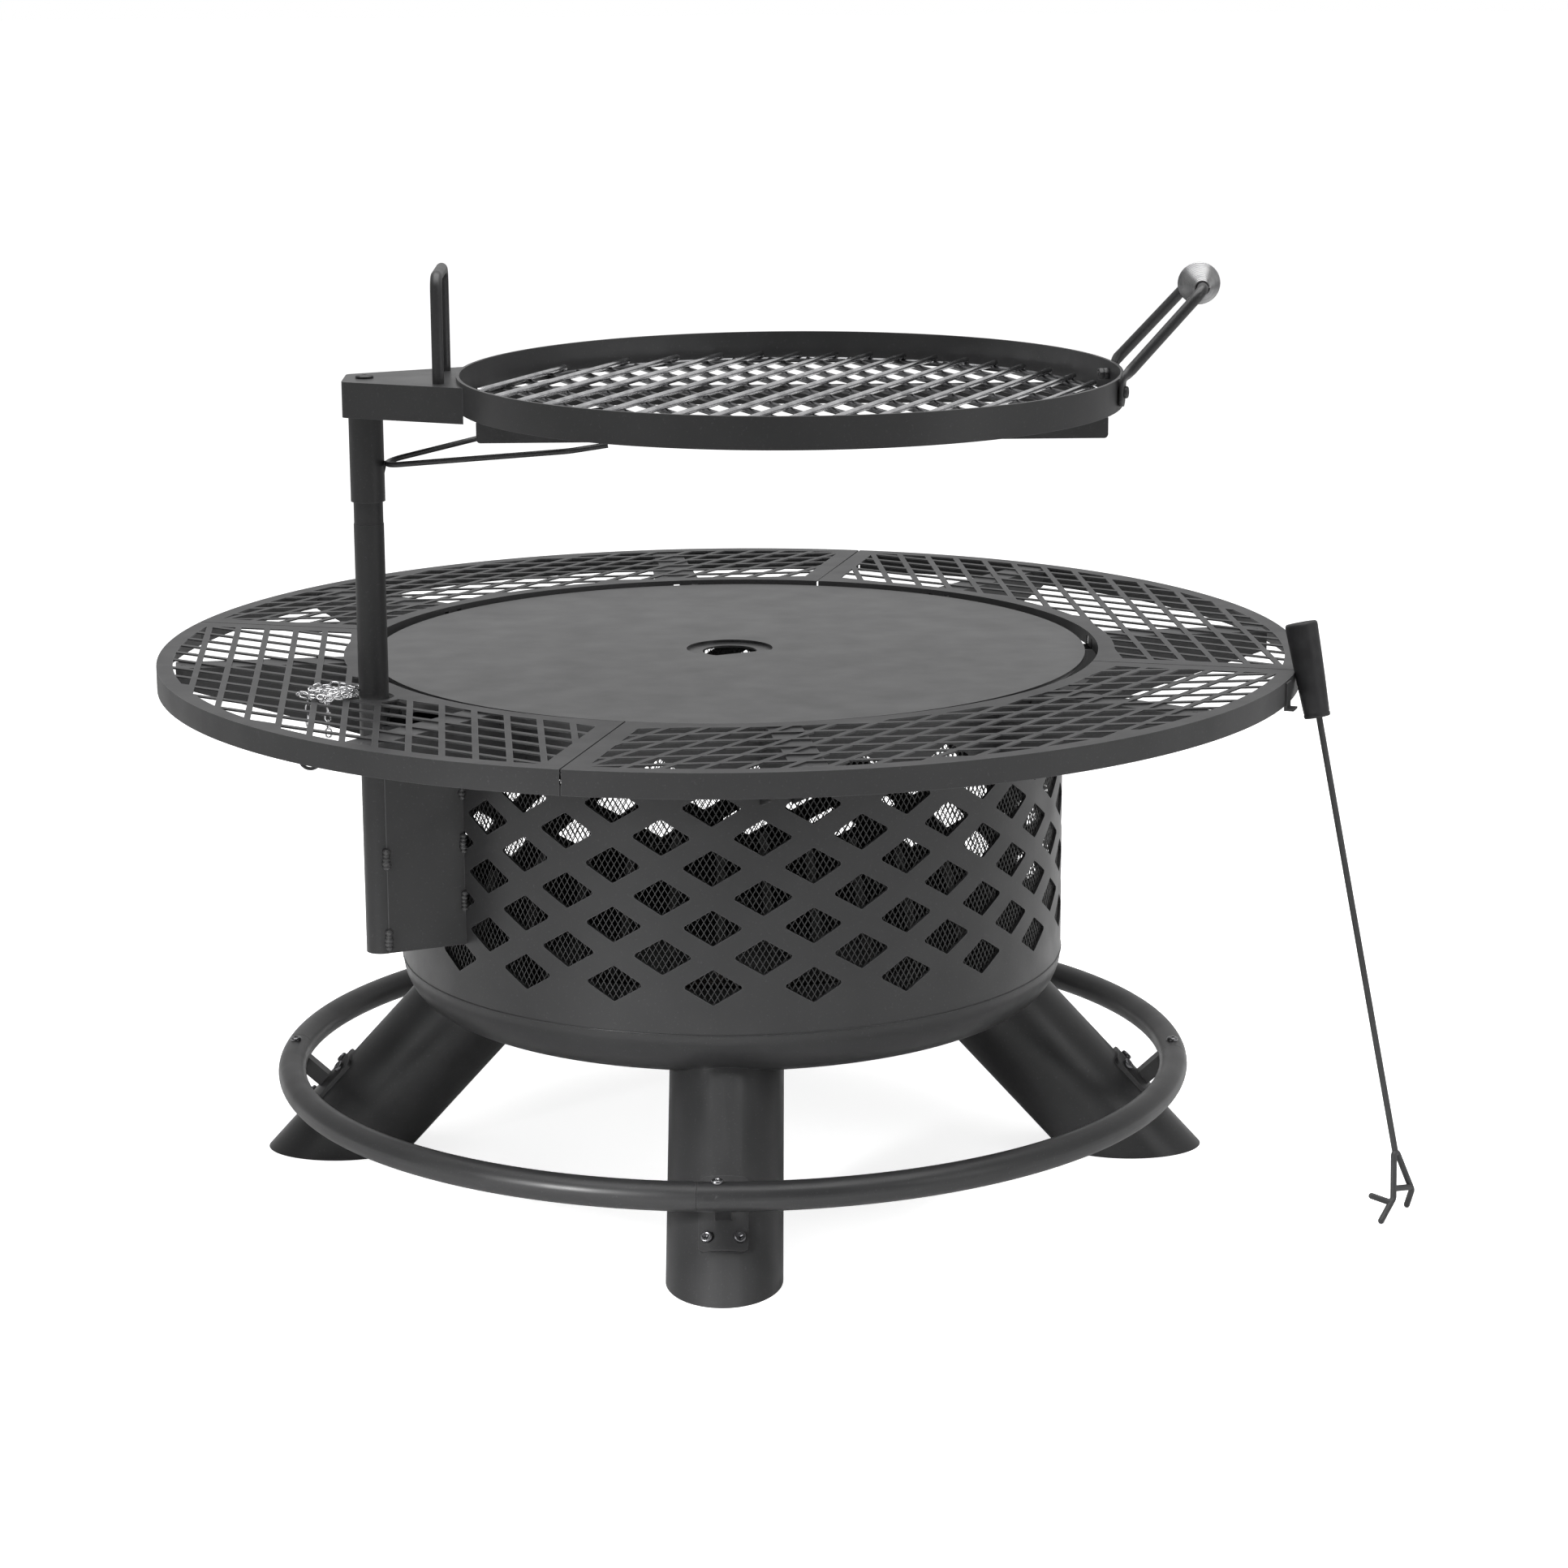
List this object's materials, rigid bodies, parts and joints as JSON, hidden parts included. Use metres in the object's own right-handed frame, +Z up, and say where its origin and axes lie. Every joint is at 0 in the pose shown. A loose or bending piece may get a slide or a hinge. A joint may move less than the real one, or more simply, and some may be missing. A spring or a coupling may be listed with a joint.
{
  "type": "fire pit",
  "caption": "Round wood-burning fire pit with a lattice table, flat lid, cut-out bowl on leaning tube legs, foot ring, swivel cooking grill on a side post, and a poker",
  "frame": {"origin": "on the floor, on the axis of the bowl and table", "axes": "+Z up; +X from the side post's side to the grill handle's side; -Y faces the viewer at the front leg"},
  "size_m": [1.3007, 1.2, 0.9798],
  "materials": {
    "black_coat": "satin black powder coat",
    "table_coat": "satin black powder coat",
    "lid_coat": "semi-gloss black powder coat",
    "mesh_steel": "black coated mesh",
    "bolt_steel": "blackened steel",
    "weld_metal": "painted weld bead",
    "chain_steel": "bright plated",
    "key_ring_black": "black coat",
    "log_grate_steel": "dark raw steel",
    "bright_wire": "bright plated wire",
    "coil_steel": "bright spring wire",
    "poker_coat": "satin black coat",
    "grip_plastic": "matt black grip"
  },
  "bodies": {
    "pit": {"bowl_wall": "black_coat", "bowl_bottom": "black_coat", "bowl_flange": "black_coat", "spark_mesh": "mesh_steel", "leg_front": "black_coat", "saddle_front": "black_coat", "foot_ring_front": "black_coat", "leg_right": "black_coat", "saddle_right": "black_coat", "foot_ring_right": "black_coat", "leg_back": "black_coat", "saddle_back": "black_coat", "foot_ring_back": "black_coat", "leg_left": "black_coat", "saddle_left": "black_coat", "foot_ring_left": "black_coat", "saddle_bolts": "bolt_steel", "foot_ring_screws": "bolt_steel", "table_panel_1": "table_coat", "table_arm_1": "black_coat", "table_arm_2": "black_coat", "table_panel_2": "table_coat", "table_arm_3": "black_coat", "table_arm_4": "black_coat", "table_panel_3": "table_coat", "table_arm_5": "black_coat", "table_arm_6": "black_coat", "table_panel_4": "table_coat", "table_arm_7": "black_coat", "table_arm_8": "black_coat", "table_bolts": "bolt_steel", "poker_hook": "black_coat", "post_lower": "black_coat", "post_bracket": "black_coat", "post_welds": "weld_metal", "chain": "chain_steel", "chain_clip": "chain_steel"},
    "key_ring": {"key_ring": "key_ring_black"},
    "lid": {"lid_plate": "lid_coat", "lid_pull_ring": "lid_coat"},
    "log_grate": {"log_grate_frame": "log_grate_steel", "log_grate_bars": "log_grate_steel"},
    "grill_post": {"post_upper": "black_coat", "cap_bolt": "bolt_steel"},
    "grill": {"grill_ring": "black_coat", "hub_box": "black_coat", "pivot_sleeve": "black_coat", "grill_rail_front": "black_coat", "grill_rail_back": "black_coat", "brace": "black_coat", "lift_handle": "black_coat", "swing_handle": "black_coat", "swing_handle_bolts": "bolt_steel", "coil_grip": "coil_steel"},
    "wire_grate": {"grate_hoop": "bright_wire", "grate_wires_low": "bright_wire", "grate_wires_high": "bright_wire"},
    "poker": {"poker_rod": "poker_coat", "poker_fork": "poker_coat", "poker_grip": "grip_plastic"}
  },
  "joints": [
    {"name": "lid_lift", "type": "slide", "parent": "pit", "child": "lid", "axis": [0, 0, 1], "range_m": [0, 0.2]},
    {"name": "log_grate_lift", "type": "slide", "parent": "pit", "child": "log_grate", "axis": [0, 0, 1], "range_m": [0, 0.15]},
    {"name": "grill_post_lift", "type": "slide", "parent": "pit", "child": "grill_post", "axis": [0, 0, 1], "range_m": [0, 0.105]},
    {"name": "grill_swivel", "type": "hinge", "parent": "grill_post", "child": "grill", "pos_m": [-0.3555, -0.2455, 0.8], "axis": [0, 0, 1], "continuous": true},
    {"name": "wire_grate_lift", "type": "slide", "parent": "grill", "child": "wire_grate", "axis": [0, 0, 1], "range_m": [0, 0.08]},
    {"name": "poker_lift", "type": "slide", "parent": "pit", "child": "poker", "axis": [-0.1725, 0.1598, 0.972], "range_m": [0, 0.3]},
    {"name": "key_ring_swing", "type": "hinge", "parent": "pit", "child": "key_ring", "pos_m": [-0.4195, -0.26, 0.4995], "axis": [0, 1, 0], "range_deg": [-25, 25]}
  ]
}
